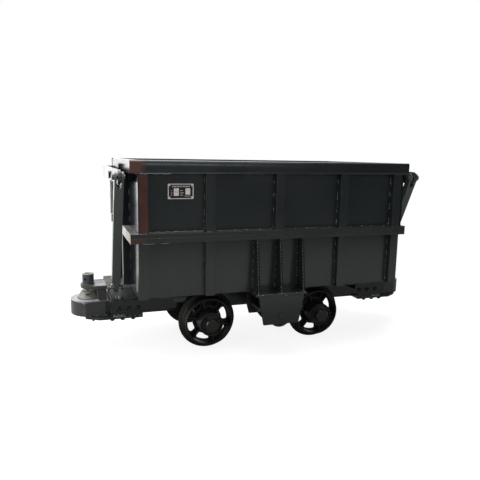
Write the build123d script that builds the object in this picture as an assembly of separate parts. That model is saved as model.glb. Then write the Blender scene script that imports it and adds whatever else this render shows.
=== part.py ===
from build123d import *
import math
import os

os.makedirs("parts", exist_ok=True)

# Side dump ore cart, in millimetres. X runs along the track, Y across it and Z up.
# Z is 0 at the lowest point of the wheel flanges and Y is 0 midway between the rails.
# The door and the tipping hinges are on the +Y side, the unloading roller on the -Y side.

# Wheels and axles
WHEELBASE = 838
WHEEL_X = WHEELBASE / 2
FLANGE_R = 206
TREAD_R = 175
RIM_EDGE_R = 169
RIM_INNER_R = 154
FLANGE_BACK_Y = 270
FLANGE_T = 24
RIM_FACE_Y = 357
WEB_Y = 278
WEB_T = 14
HUB_R = 84
HUB_FACE_Y = 414
HUB_LIP_W = 12
HUB_RECESS = 14
CAP_R = 48
CAP_FACE_Y = 448
CAP_FLANGE_R = 64
CAP_FLANGE_T = 8
AXLE_R = 38
AXLE_INSET = 6
AXLE_END_Y = HUB_FACE_Y - HUB_RECESS - AXLE_INSET
PRESS_GAP = 0.3
WINDOW_COUNT = 6
WINDOW_HALF_DEG = 20
WINDOW_INNER_R = 105
WINDOW_OUTER_R = 148
WINDOW_CORNER_R = 14
LEFT_WHEEL_DEG = 16
RIGHT_WHEEL_DEG = 20
WHEEL_RIB_W = 11
WHEEL_RIB_FACE_Y = 325

# Box, the main sizes that the frame and the linkage follow
FLOOR_BOTTOM = 460
BOX_HALF_L = 936
BOX_HALF_W = 540
RIM_Z = 1330

# Frame
FRAME_TOP = 377
SILL_FACE_Y = 250
SILL_BOTTOM = 297
SILL_T = 8
SILL_FLANGE = 45
FRAME_OVERHANG = 144
FRAME_END_X = BOX_HALF_L + FRAME_OVERHANG
GIRDER_FACE_Y = 150
GIRDER_BOTTOM = 250
GIRDER_T = 8
GIRDER_FLANGE = 40
DECK_T = 8
DECK_L = 380
DECK_INNER_X = FRAME_END_X - DECK_L
OUTRIGGER_INSET = 48
OUTRIGGER_END_Y = BOX_HALF_W - OUTRIGGER_INSET
OUTRIGGER_L = 200
OUTRIGGER_INNER_X = FRAME_END_X - OUTRIGGER_L
OUTRIGGER_BOTTOM = 300
NOTCH_TOP = 350
NOTCH_INNER_TOP = 143
NOTCH_INNER_BOTTOM = 194
NOTCH_OUTER = 217
NOTCH_OUTER_TOP = 203
NOTCH_SLANT = 204
NOTCH_SLANT_TOP = 145
SLOT_INNER_X = FRAME_END_X - 358
SLOT_OUTER_X = FRAME_END_X - 274
SLOT_LOW_Z = 334
BEAM_T = 10
BEAM_XS = (250, 640)
AXLE_BOX_HALF_W = 70
AXLE_BOX_BOTTOM = 145
AXLE_BOX_GAP = 0.5
REST_BEAM_INSET = 196
REST_BEAM_X = BOX_HALF_L - REST_BEAM_INSET
REST_BEAM_W = 70
REST_HALF_Y = SILL_FACE_Y - 5

# Tipping hinges
HINGE_INSET = 140
HINGE_DROP = 35
HINGE_Y = BOX_HALF_W - HINGE_INSET
HINGE_Z = FLOOR_BOTTOM - HINGE_DROP
HINGE_X = BOX_HALF_L - 6
HINGE_PIN_R = 18
HINGE_EAR_T = 16
HINGE_LUG_T = 30
HINGE_EAR_R = 34
HINGE_EAR_HALF_W = 62
HINGE_LUG_R = 31
HINGE_LUG_HALF_W = 60
PIN_GAP = 0.5
SIDE_GAP = 5

# Box
FLOOR_T = 8
SHEET_T = 6
RIB_W = 62
RIB_D = 42
RIB_T = 6
RIB_BOTTOM = FLOOR_BOTTOM + 2
RIB_X = BOX_HALF_L / 2 + 10
END_RIB_Y = 119
NEAR_RIB_INSET = 4
BELT_BOTTOM = 820
BELT_TOP = 881
BELT_D = 48
BAND_H = 80
BAND_BOTTOM = RIM_Z - BAND_H
BAND_D = 54
END_BAND_D = 48
BAND_ROUND = 12
BEARER_H = 35
BEARER_SETBACK = 90
DOOR_GAP = 6
DOOR_BAND_GAP = 28
DOOR_OVERHANG = 50
DOOR_BELT_OVERHANG = 62
DOOR_HALF_L = BOX_HALF_L + DOOR_OVERHANG
DOOR_BELT_HALF_L = BOX_HALF_L + DOOR_BELT_OVERHANG
END_RELIEF = 12

# Door linkage, on the axes that the pins run along X
PIVOT_Y = -50
PIVOT_DROP = 108
PIVOT_Z = RIM_Z - PIVOT_DROP
EYE_REACH = 15
EYE_DROP = 102
EYE_Y = -BOX_HALF_W - EYE_REACH
EYE_Z = RIM_Z - EYE_DROP
FOOT_Y = -190
FOOT_Z = 455
ARM_REACH = 106
ARM_X = BOX_HALF_L + ARM_REACH
ARM_T = 19
ARM_H = 84
CARRIER_T = 18
CARRIER_BOTTOM = BELT_TOP + 6
LINK_W = 57
LINK_D = 48
LINK_FORK_T = 14
LINK_FOOT_W = 30
LINK_FOOT_NECK = 38
LINK_SHOULDER = 62
LINK_HEAD_R = 31
LINK_FOOT_R = 26
LINK_SLOT_BELOW = 24
LINK_PIN_R = 14
LINK_PIN_HEAD_R = 19
LINK_PIN_HEAD_T = 16
EYE_GAP = 7
FOOT_PIN_R = 13
LUG_T = 16
LUG_R = 28
LUG_FOOT_HALF_W = 45
LUG_SIDE_GAP = 3
PIVOT_PIN_R = 16
PIVOT_LUG_T = 23
PIVOT_LUG_NEAR_Y = -175
PIVOT_LUG_FAR_Y = 10
PIVOT_LUG_DROP = 32
PIVOT_LUG_TOP = RIM_Z - PIVOT_LUG_DROP
PIVOT_LUG_BELOW = 46
PIVOT_BOSS_R = 30
PIVOT_HEAD_R = 26
PIVOT_HEAD_T = 10
PIVOT_SIDE_GAP = 2

# Unloading roller and its bracket
ROLLER_Z = 306
ROLLER_R = 84
ROLLER_END_W = 10
ROLLER_RING_R = 68
ROLLER_BOSS_R = 40
ROLLER_PIN_R = 20
BRACKET_T = 14
BRACKET_REACH = 112
BRACKET_INSET = 62
BRACKET_FACE_Y = -BOX_HALF_W - BRACKET_REACH
BRACKET_BACK_Y = -BOX_HALF_W + BRACKET_INSET
BRACKET_HALF_TOP = 185
BRACKET_BOTTOM = 250
PLATE_HALF_TOP = 164
PLATE_HALF_BOTTOM = 126
BACK_PLATE_SIDE_Z = 348
BACK_PLATE_HALF_LOW = 168
BACK_PLATE_LOW_Z = 288
BACK_PLATE_STEP = 109
BACK_PLATE_HALF_TIP = 76
STAY_X = 149
STAY_Z = 356
STAY_R = 14
GUSSET_X = 162
GUSSET_T = 12
GUSSET_TOP_D = 70
GUSSET_BOTTOM_D = 114

# Coupling heads
HEAD_HALF_W = 150
HEAD_L = 258
HEAD_CORNER_L = 201
HEAD_SIDE_L = 163
HEAD_NOSE_X = FRAME_END_X + HEAD_L
HEAD_CORNER_X = FRAME_END_X + HEAD_CORNER_L
HEAD_SIDE_X = FRAME_END_X + HEAD_SIDE_L
HEAD_CORNER_Y = 124
HEAD_NECK_L = 30
HEAD_NECK_X = FRAME_END_X + HEAD_NECK_L
HEAD_NECK_INSET = 14
HEAD_BOTTOM = 250
HEAD_TOP = 352
HEAD_CHAMFER = 10
COUPLER_REACH = 136
COUPLER_X = FRAME_END_X + COUPLER_REACH
COUPLER_HOLE_R = 17
SEAT_R = 74
SEAT_TOP_R = 50
SEAT_TOP = 402
SEAT_ROUND = 5
SEAT_SLOT_HALF_W = 20
SEAT_SLOT_H = 10
SEAT_SLOT_Z = 384
JAW_BOTTOM = 428
JAW_TOP = 452
JAW_HALF_W = 105
JAW_ARC_L = 84
JAW_ARC_X = FRAME_END_X + JAW_ARC_L
JAW_BACK_X = FRAME_END_X + 15
SLEEVE_R = 39.5
SLEEVE_TOP = 525
SLEEVE_SINK = 8
CROSS_HOLE_R = 9
CROSS_HOLE_Z = 487
CROSS_HOLE_DEG = 34
JAW_WEB_HALF = 97
JAW_WEB_FRONT_L = 80
JAW_WEB_BACK_L = 18
JAW_WEB_FRONT_X = FRAME_END_X + JAW_WEB_FRONT_L
JAW_WEB_BACK_X = FRAME_END_X + JAW_WEB_BACK_L
THROAT_R = 22
STRAP_T = 14
STRAP_HALF_W = 207
STRAP_TAPER_L = 74
STRAP_FRONT_L = 166
STRAP_BACK_L = 217
STRAP_TAPER_X = FRAME_END_X + STRAP_TAPER_L
STRAP_FRONT_X = FRAME_END_X + STRAP_FRONT_L
STRAP_BACK_X = FRAME_END_X - STRAP_BACK_L
PACKER_FRONT_X = FRAME_END_X - 10


def block(x0, x1, y0, y1, z0, z1):
    return Pos((x0 + x1) / 2, (y0 + y1) / 2, (z0 + z1) / 2) * Box(abs(x1 - x0), abs(y1 - y0), abs(z1 - z0))


def prism_x(points, x0, x1):
    outline = make_face(Polyline(*[(x0, y, z) for y, z in points], close=True))
    return extrude(outline, amount=x1 - x0, dir=(1, 0, 0))


def prism_y(points, y0, y1):
    outline = make_face(Polyline(*[(x, y0, z) for x, z in points], close=True))
    return extrude(outline, amount=y1 - y0, dir=(0, 1, 0))


def prism_z(points, z0, z1):
    outline = make_face(Polyline(*[(x, y, z0) for x, y in points], close=True))
    return extrude(outline, amount=z1 - z0, dir=(0, 0, 1))


def rod_x(y, z, r, x0, x1):
    return Pos((x0 + x1) / 2, y, z) * Rot(0, 90, 0) * Cylinder(r, abs(x1 - x0))


def rod_y(x, z, r, y0, y1):
    return Pos(x, (y0 + y1) / 2, z) * Rot(90, 0, 0) * Cylinder(r, abs(y1 - y0))


def rod_z(x, y, r, z0, z1):
    return Pos(x, y, (z0 + z1) / 2) * Cylinder(r, z1 - z0)


def flip_x(shape):
    return mirror(shape, Plane.YZ)


def flip_y(shape):
    return mirror(shape, Plane.XZ)


def save(name, *solids):
    export_step(Compound(label=name, children=list(solids)), f"parts/{name}.step")


def channel_z(x, y_wall, depth, z0, z1):
    """An upright channel on a wall that faces -Y, with its open side against the wall."""
    outer = block(x - RIB_W / 2, x + RIB_W / 2, y_wall - depth, y_wall, z0, z1)
    inner = block(x - RIB_W / 2 + RIB_T, x + RIB_W / 2 - RIB_T, y_wall - depth + RIB_T, y_wall, z0, z1)
    return outer - inner


def end_channel_z(y, width, z0, z1):
    """An upright channel on the right end wall, with its open side against the wall."""
    x0 = BOX_HALF_L
    x1 = BOX_HALF_L + END_BAND_D
    outer = block(x0, x1, y - width / 2, y + width / 2, z0, z1)
    inner = block(x0, x1 - RIB_T, y - width / 2 + RIB_T, y + width / 2 - RIB_T, z0, z1)
    return outer - inner


# Wheelsets: each wheel is a cast disc with six windows and six low ribs
def wheel(x, side, first_deg):
    """One wheel on the -Y side of the axle at x, or on the +Y side where side is 1."""
    web_back = WEB_Y - WEB_T / 2
    web_front = WEB_Y + WEB_T / 2
    recess_y = HUB_FACE_Y - HUB_RECESS
    profile = [
        (AXLE_R + PRESS_GAP, FLANGE_BACK_Y - 6),
        (HUB_R - 12, FLANGE_BACK_Y - 6),
        (HUB_R - 8, web_back),
        (RIM_INNER_R, web_back),
        (RIM_INNER_R + 2, FLANGE_BACK_Y),
        (FLANGE_R - 5, FLANGE_BACK_Y),
        (FLANGE_R, FLANGE_BACK_Y + 6),
        (FLANGE_R - 3, FLANGE_BACK_Y + 14),
        (TREAD_R + 5, FLANGE_BACK_Y + FLANGE_T),
        (TREAD_R, FLANGE_BACK_Y + FLANGE_T + 10),
        (RIM_EDGE_R + 2, RIM_FACE_Y - 5),
        (RIM_EDGE_R - 3, RIM_FACE_Y),
        (RIM_INNER_R + 4, RIM_FACE_Y),
        (RIM_INNER_R, web_front),
        (HUB_R + 2, web_front),
        (HUB_R, HUB_FACE_Y - 4),
        (HUB_R - 3, HUB_FACE_Y),
        (HUB_R - HUB_LIP_W, HUB_FACE_Y),
        (HUB_R - HUB_LIP_W, recess_y),
        (AXLE_R + PRESS_GAP, recess_y),
    ]
    outline = make_face(Polyline(*[(r, -y, 0) for r, y in profile], close=True))
    disc = revolve(outline, Axis.Y)
    hole = window(web_back - 1, web_front + 1)
    for k in range(WINDOW_COUNT):
        middle = first_deg + 360 / WINDOW_COUNT * k
        disc -= Rot(0, 90 - middle, 0) * hole
        disc += wheel_rib(middle + 180 / WINDOW_COUNT, web_front)
    disc = Pos(x, 0, FLANGE_R) * disc
    return flip_y(disc) if side == 1 else disc


def window(near, far):
    """A rounded hole through the web, straight above the axle."""
    ring = rod_y(0, 0, WINDOW_OUTER_R, -far, -near) - rod_y(0, 0, WINDOW_INNER_R, -far, -near)
    reach = 2 * WINDOW_OUTER_R
    spread = reach * math.tan(math.radians(WINDOW_HALF_DEG))
    wedge = prism_y([(0, 0), (spread, reach), (-spread, reach)], -far, -near)
    hole = ring & wedge
    return fillet(hole.edges().filter_by(Axis.Y), WINDOW_CORNER_R)


def wheel_rib(angle, web_front):
    """A low rib on the outer side of the web, from the hub to the rim."""
    half = WHEEL_RIB_W / 2
    rib = block(HUB_R - 2, RIM_INNER_R + 7, -WHEEL_RIB_FACE_Y, -(web_front - 1), -half, half)
    return Rot(0, -angle, 0) * rib


def hub_cap(x, side):
    """The bolted cover over the end of the axle, in the recess of the hub."""
    recess_y = HUB_FACE_Y - HUB_RECESS
    cap = rod_y(x, FLANGE_R, CAP_FLANGE_R, -(recess_y + CAP_FLANGE_T), -recess_y)
    dome = rod_y(x, FLANGE_R, CAP_R, -CAP_FACE_Y, -(recess_y + CAP_FLANGE_T))
    dome = chamfer(dome.faces().sort_by(Axis.Y)[0].edges(), 6)
    cap = cap + dome
    return flip_y(cap) if side == 1 else cap


for name, x, first_deg in (("left", -WHEEL_X, LEFT_WHEEL_DEG), ("right", WHEEL_X, RIGHT_WHEEL_DEG)):
    save(f"axle_{name}", rod_y(x, FLANGE_R, AXLE_R, -AXLE_END_Y, AXLE_END_Y))
    save(f"wheels_{name}", wheel(x, -1, first_deg), wheel(x, 1, first_deg))
    save(f"hub_caps_{name}", hub_cap(x, -1), hub_cap(x, 1))


# Frame: outer sills, centre girders and cross beams
def sill_notch(outer_top, outer_bottom):
    """The cut above the right axle in the outer sill, with the reach of its outer edge above and below."""
    return prism_y([(WHEEL_X - NOTCH_INNER_BOTTOM, SILL_BOTTOM - 1), (WHEEL_X - NOTCH_INNER_TOP, NOTCH_TOP),
                    (WHEEL_X + outer_top, NOTCH_TOP), (WHEEL_X + outer_bottom, SILL_BOTTOM - 1)],
                   -SILL_FACE_Y - 1, -SILL_FACE_Y + SILL_FLANGE + 1)


sill_in_y = -SILL_FACE_Y + SILL_FLANGE
sill = block(-FRAME_END_X, FRAME_END_X, -SILL_FACE_Y, sill_in_y, SILL_BOTTOM, FRAME_TOP)
sill -= block(-FRAME_END_X, FRAME_END_X, -SILL_FACE_Y + SILL_T, sill_in_y,
              SILL_BOTTOM + SILL_T, FRAME_TOP - SILL_T)
upright_notch = sill_notch(NOTCH_OUTER_TOP, NOTCH_OUTER)
sill -= flip_x(upright_notch)
far_sill = flip_y(sill - upright_notch)
near_sill = sill - sill_notch(NOTCH_SLANT_TOP, NOTCH_SLANT)
near_sill -= prism_y([(SLOT_INNER_X, FRAME_TOP - SILL_T), (SLOT_OUTER_X, FRAME_TOP - SILL_T),
                      (SLOT_OUTER_X, SLOT_LOW_Z)], -SILL_FACE_Y - 1, -SILL_FACE_Y + SILL_T + 1)
save("sills", near_sill, far_sill)

beam_x0 = FRAME_END_X - BEAM_T
girder = block(-beam_x0, beam_x0, -GIRDER_FACE_Y, -GIRDER_FACE_Y + GIRDER_FLANGE, GIRDER_BOTTOM, FRAME_TOP)
girder -= block(-beam_x0, beam_x0, -GIRDER_FACE_Y + GIRDER_T, -GIRDER_FACE_Y + GIRDER_FLANGE,
                GIRDER_BOTTOM + GIRDER_T, FRAME_TOP - GIRDER_T)
for x in (-WHEEL_X, WHEEL_X):
    girder -= rod_y(x, FLANGE_R, AXLE_R + 12, -GIRDER_FACE_Y - 1, -GIRDER_FACE_Y + GIRDER_FLANGE + 1)
save("girders", girder, flip_y(girder))

sill_inner_y = SILL_FACE_Y - SILL_FLANGE
girder_inner_y = GIRDER_FACE_Y - GIRDER_FLANGE
beams = []
for sign in (-1, 1):
    end = block(sign * beam_x0, sign * FRAME_END_X, -sill_inner_y, sill_inner_y, GIRDER_BOTTOM, FRAME_TOP)
    beams.append(end)
    for x in BEAM_XS:
        for y0, y1 in ((-sill_inner_y, -GIRDER_FACE_Y), (-girder_inner_y, girder_inner_y),
                       (GIRDER_FACE_Y, sill_inner_y)):
            beams.append(block(sign * x, sign * (x + BEAM_T), y0, y1, SILL_BOTTOM, FRAME_TOP))
save("cross_beams", *beams)


# End decks, with an outrigger that carries the tipping hinge
def end_deck():
    plate = block(DECK_INNER_X, FRAME_END_X, -SILL_FACE_Y, SILL_FACE_Y, FRAME_TOP, FRAME_TOP + DECK_T)
    plate += block(OUTRIGGER_INNER_X, FRAME_END_X, SILL_FACE_Y, OUTRIGGER_END_Y,
                   FRAME_TOP, FRAME_TOP + DECK_T)
    for x in (OUTRIGGER_INNER_X, FRAME_END_X - BEAM_T):
        web = prism_x([(SILL_FACE_Y, OUTRIGGER_BOTTOM), (SILL_FACE_Y, FRAME_TOP),
                       (OUTRIGGER_END_Y, FRAME_TOP), (OUTRIGGER_END_Y, FRAME_TOP - 25)], x, x + BEAM_T)
        plate += web
    return plate


deck_right = end_deck()
save("end_deck_right", deck_right)
save("end_deck_left", flip_x(deck_right))
deck_top = FRAME_TOP + DECK_T

# Rest beams between the decks carry the near half of the box
rest_top = FLOOR_BOTTOM - BEARER_H
rests = []
for x in (-REST_BEAM_X, REST_BEAM_X):
    rests.append(block(x - REST_BEAM_W / 2, x + REST_BEAM_W / 2, -REST_HALF_Y, REST_HALF_Y,
                       deck_top, rest_top))
rests.append(block(-REST_BEAM_W / 2, REST_BEAM_W / 2, -REST_HALF_Y, REST_HALF_Y, FRAME_TOP, rest_top))
save("rest_beams", *rests)

# Axle boxes hang from the sills and the axle turns in them
box_top = NOTCH_TOP
boxes = []
for x in (-WHEEL_X, WHEEL_X):
    housing = prism_y([(x - AXLE_BOX_HALF_W - 45, box_top), (x + AXLE_BOX_HALF_W + 45, box_top),
                       (x + AXLE_BOX_HALF_W, FLANGE_R + 20), (x + AXLE_BOX_HALF_W - 18, AXLE_BOX_BOTTOM),
                       (x - AXLE_BOX_HALF_W + 18, AXLE_BOX_BOTTOM), (x - AXLE_BOX_HALF_W, FLANGE_R + 20)],
                      -SILL_FACE_Y + SILL_T, -GIRDER_FACE_Y - 10)
    housing -= rod_y(x, FLANGE_R, AXLE_R + AXLE_BOX_GAP, -SILL_FACE_Y, -GIRDER_FACE_Y)
    boxes.append(housing)
    boxes.append(flip_y(housing))
save("axle_boxes", *boxes)

# Tipping hinges: two frame ears and a pin each side of a lug on the box
ear_parts = []
lug_parts = []
lug_half = HINGE_LUG_T / 2
for sign in (-1, 1):
    middle = sign * HINGE_X
    for side in (-1, 1):
        near = middle + side * (lug_half + SIDE_GAP)
        far = near + side * HINGE_EAR_T
        low, high = min(near, far), max(near, far)
        ear = prism_x([(HINGE_Y - HINGE_EAR_HALF_W, deck_top), (HINGE_Y + HINGE_EAR_HALF_W, deck_top),
                       (HINGE_Y + HINGE_EAR_R, HINGE_Z), (HINGE_Y - HINGE_EAR_R, HINGE_Z)], low, high)
        ear += rod_x(HINGE_Y, HINGE_Z, HINGE_EAR_R, low, high)
        ear_parts.append(ear)
    reach = lug_half + SIDE_GAP + HINGE_EAR_T + 6
    pin = rod_x(HINGE_Y, HINGE_Z, HINGE_PIN_R, middle - reach, middle + reach)
    ear_parts[-1] = ear_parts[-1] + pin + ear_parts.pop(-2)
    lug = prism_x([(HINGE_Y - HINGE_LUG_HALF_W, FLOOR_BOTTOM), (HINGE_Y + HINGE_LUG_HALF_W, FLOOR_BOTTOM),
                   (HINGE_Y + HINGE_LUG_R - 1, HINGE_Z), (HINGE_Y - HINGE_LUG_R + 1, HINGE_Z)],
                  middle - lug_half, middle + lug_half)
    lug += rod_x(HINGE_Y, HINGE_Z, HINGE_LUG_R, middle - lug_half, middle + lug_half)
    lug -= rod_x(HINGE_Y, HINGE_Z, HINGE_PIN_R + PIN_GAP, middle - lug_half, middle + lug_half)
    lug_parts.append(lug)
save("hinge_brackets", *ear_parts)
save("hinge_lugs", *lug_parts)


# Coupling heads
def coupling_head():
    """The right head: a deep block with a round nose, and a jaw above a tapered seat."""
    sagitta = HEAD_NOSE_X - HEAD_CORNER_X
    radius = (HEAD_CORNER_Y ** 2 + sagitta ** 2) / (2 * sagitta)
    neck_y = HEAD_HALF_W - HEAD_NECK_INSET
    body = prism_z([(FRAME_END_X, -neck_y), (HEAD_NECK_X, -neck_y), (HEAD_NECK_X, -HEAD_HALF_W),
                    (HEAD_SIDE_X, -HEAD_HALF_W), (HEAD_CORNER_X, -HEAD_CORNER_Y),
                    (HEAD_CORNER_X, HEAD_CORNER_Y), (HEAD_SIDE_X, HEAD_HALF_W),
                    (HEAD_NECK_X, HEAD_HALF_W), (HEAD_NECK_X, neck_y), (FRAME_END_X, neck_y)],
                   HEAD_BOTTOM, HEAD_TOP)
    nose = rod_z(HEAD_NOSE_X - radius, 0, radius, HEAD_BOTTOM, HEAD_TOP)
    body += nose & block(HEAD_CORNER_X, HEAD_NOSE_X, -HEAD_CORNER_Y, HEAD_CORNER_Y, HEAD_BOTTOM, HEAD_TOP)
    top_edges = body.edges().filter_by_position(Axis.Z, HEAD_TOP - 1, HEAD_TOP + 1)
    outer = [e for e in top_edges if abs(e.center().Y) > HEAD_CORNER_Y]
    facet_tops = [e for e in outer if HEAD_SIDE_X < e.center().X < HEAD_CORNER_X]
    body = chamfer(facet_tops, HEAD_CHAMFER)
    body += coupling_seat()
    body += block(JAW_WEB_BACK_X, JAW_WEB_FRONT_X, -JAW_WEB_HALF, JAW_WEB_HALF, HEAD_TOP, JAW_BOTTOM)
    body += throat_curve()
    body += block(JAW_BACK_X, JAW_ARC_X, -JAW_HALF_W, JAW_HALF_W, JAW_BOTTOM, JAW_TOP)
    jaw_nose = rod_z(JAW_ARC_X, 0, JAW_HALF_W, JAW_BOTTOM, JAW_TOP)
    body += jaw_nose & block(JAW_ARC_X, HEAD_NOSE_X, -JAW_HALF_W, JAW_HALF_W, JAW_BOTTOM, JAW_TOP)
    body += rod_z(COUPLER_X, 0, SLEEVE_R, JAW_TOP, SLEEVE_TOP)
    body -= rod_z(COUPLER_X, 0, COUPLER_HOLE_R, HEAD_BOTTOM, SLEEVE_TOP)
    sink = Cone(COUPLER_HOLE_R, COUPLER_HOLE_R + SLEEVE_SINK, SLEEVE_SINK)
    body -= Pos(COUPLER_X, 0, SLEEVE_TOP - SLEEVE_SINK / 2) * sink
    cross = Pos(COUPLER_X, 0, CROSS_HOLE_Z) * Rot(0, 0, CROSS_HOLE_DEG) * Rot(90, 0, 0)
    body -= cross * Cylinder(CROSS_HOLE_R, 3 * SLEEVE_R)
    return body


def coupling_seat():
    """The tapered seat below the jaw, with a slot across it."""
    seat = Pos(COUPLER_X, 0, (HEAD_TOP + SEAT_TOP) / 2) * Cone(SEAT_R, SEAT_TOP_R, SEAT_TOP - HEAD_TOP)
    seat = fillet(seat.edges().sort_by(Axis.Z)[-1], SEAT_ROUND)
    seat -= block(COUPLER_X - SEAT_SLOT_HALF_W, COUPLER_X + SEAT_SLOT_HALF_W, -SEAT_R, SEAT_R,
                  SEAT_SLOT_Z - SEAT_SLOT_H / 2, SEAT_SLOT_Z + SEAT_SLOT_H / 2)
    return seat


def throat_curve():
    """The hollow corner between the web and the underside of the jaw."""
    x1 = JAW_WEB_FRONT_X + THROAT_R
    z0 = JAW_BOTTOM - THROAT_R
    corner = block(JAW_WEB_FRONT_X, x1, -JAW_WEB_HALF, JAW_WEB_HALF, z0, JAW_BOTTOM)
    return corner - rod_y(x1, z0, THROAT_R, -JAW_WEB_HALF, JAW_WEB_HALF)


head_right = coupling_head()
save("head_right", head_right)
save("head_left", flip_x(head_right))

# Straps under the heads, with packers between the strap and the sills
strap_bottom = HEAD_BOTTOM - STRAP_T
strap = prism_z([(STRAP_BACK_X, -STRAP_HALF_W), (STRAP_TAPER_X, -STRAP_HALF_W), (STRAP_FRONT_X, -HEAD_HALF_W),
                 (STRAP_FRONT_X, HEAD_HALF_W), (STRAP_TAPER_X, STRAP_HALF_W), (STRAP_BACK_X, STRAP_HALF_W)],
                strap_bottom, HEAD_BOTTOM)
strap -= rod_z(COUPLER_X, 0, COUPLER_HOLE_R, strap_bottom, HEAD_BOTTOM)
packer = block(STRAP_BACK_X, PACKER_FRONT_X, -STRAP_HALF_W, -GIRDER_FACE_Y, HEAD_BOTTOM, SILL_BOTTOM)
save("head_straps", strap, flip_x(strap))
save("strap_packers", packer, flip_y(packer), flip_x(packer), flip_x(flip_y(packer)))

# Box: floor, fixed near wall and end walls
floor_top = FLOOR_BOTTOM + FLOOR_T
wall_in = BOX_HALF_W - SHEET_T
end_in = BOX_HALF_L - SHEET_T
end_far_y = BOX_HALF_W - SHEET_T - DOOR_GAP
save("floor", block(-BOX_HALF_L, BOX_HALF_L, -BOX_HALF_W, end_far_y, FLOOR_BOTTOM, floor_top))
save("near_wall", block(-BOX_HALF_L, BOX_HALF_L, -BOX_HALF_W, -wall_in, floor_top, RIM_Z - 6))
end_wall = prism_x([(-wall_in, floor_top), (end_far_y, floor_top), (end_far_y, PIVOT_Z + 20),
                    (end_far_y - END_RELIEF, RIM_Z - 6), (-wall_in, RIM_Z - 6)], end_in, BOX_HALF_L)
save("end_wall_right", end_wall)
save("end_wall_left", flip_x(end_wall))

post_x = BOX_HALF_L - RIB_W / 2
posts = []
for x in (-post_x, post_x):
    posts.append(channel_z(x, -BOX_HALF_W, RIB_D, BELT_TOP, BAND_BOTTOM))
    posts.append(channel_z(x, -BOX_HALF_W, RIB_D, RIB_BOTTOM, BELT_BOTTOM))
save("corner_posts", *posts)

ribs = []
for x in (-RIB_X, 0, RIB_X):
    ribs.append(channel_z(x, -BOX_HALF_W, RIB_D, BELT_TOP, BAND_BOTTOM))
for x in (-RIB_X, RIB_X):
    ribs.append(channel_z(x, -BOX_HALF_W, RIB_D, RIB_BOTTOM, BELT_BOTTOM))
save("side_ribs", *ribs)

end_band_far_y = wall_in - DOOR_BAND_GAP
end_ribs = []
for y in (-END_RIB_Y, END_RIB_Y, end_band_far_y - RIB_W / 2):
    end_ribs.append(end_channel_z(y, RIB_W, BELT_TOP, BAND_BOTTOM))
    end_ribs.append(end_channel_z(y, RIB_W, RIB_BOTTOM, BELT_BOTTOM))
near_rib_y = -BOX_HALF_W + NEAR_RIB_INSET + RIB_W / 2
near_rib = end_channel_z(near_rib_y, RIB_W, BELT_TOP, BAND_BOTTOM)
save("end_ribs_right", near_rib, *end_ribs)
save("end_ribs_left", *[flip_x(r) for r in end_ribs])


# Top band: a hollow section with a rounded upper edge, and the plain belt below it
def band_along_x(y_wall, depth, half_l, z0, z1, rounding):
    """A hollow band on a wall that faces -Y."""
    bar = block(-half_l, half_l, y_wall - depth, y_wall, z0, z1)
    edges = bar.edges().filter_by(Axis.X).filter_by_position(Axis.Y, y_wall - depth - 1, y_wall - depth + 1)
    if rounding:
        bar = fillet(edges, rounding)
    core = block(-half_l + RIB_T, half_l - RIB_T, y_wall - depth + RIB_T, y_wall - RIB_T,
                 z0 + RIB_T, z1 - RIB_T)
    return bar - core


def band_along_y(depth, y0, y1, z0, z1, rounding):
    """A hollow band on the right end wall."""
    bar = block(BOX_HALF_L, BOX_HALF_L + depth, y0, y1, z0, z1)
    outer_x = BOX_HALF_L + depth
    edges = bar.edges().filter_by(Axis.Y).filter_by_position(Axis.X, outer_x - 1, outer_x + 1)
    if rounding:
        bar = fillet(edges, rounding)
    core = block(BOX_HALF_L + RIB_T, BOX_HALF_L + depth - RIB_T, y0, y1, z0 + RIB_T, z1 - RIB_T)
    return bar - core


band_half_l = BOX_HALF_L + END_BAND_D
save("top_band_near", band_along_x(-BOX_HALF_W, BAND_D, band_half_l, BAND_BOTTOM, RIM_Z, BAND_ROUND))
end_band = band_along_y(END_BAND_D, -BOX_HALF_W, end_band_far_y, BAND_BOTTOM, RIM_Z, BAND_ROUND)
save("top_band_right", end_band)
save("top_band_left", flip_x(end_band))
save("belt_near", band_along_x(-BOX_HALF_W, BELT_D, band_half_l, BELT_BOTTOM, BELT_TOP, 0))
end_belt = band_along_y(END_BAND_D, -BOX_HALF_W, end_band_far_y, BELT_BOTTOM, BELT_TOP, 0)
save("belt_right", end_belt)
save("belt_left", flip_x(end_belt))

# Bearers under the floor
bearers = []
for x in (-REST_BEAM_X, 0, REST_BEAM_X):
    bearers.append(block(x - REST_BEAM_W / 2, x + REST_BEAM_W / 2, -BOX_HALF_W + BEARER_SETBACK, end_far_y,
                         rest_top, FLOOR_BOTTOM))
save("floor_bearers", *bearers)

# Unloading bracket: three tapered gussets, a shelf and two plates that hold the roller
gussets = []
shelf_top = FLOOR_BOTTOM
shelf_bottom = FLOOR_BOTTOM - BRACKET_T
for x in (-GUSSET_X, 0, GUSSET_X):
    gussets.append(prism_x([(-BOX_HALF_W, shelf_top), (-BOX_HALF_W - GUSSET_BOTTOM_D, shelf_top),
                            (-BOX_HALF_W - GUSSET_TOP_D, BELT_BOTTOM), (-BOX_HALF_W, BELT_BOTTOM)],
                           x - GUSSET_T / 2, x + GUSSET_T / 2))
save("roller_gussets", *gussets)

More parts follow.
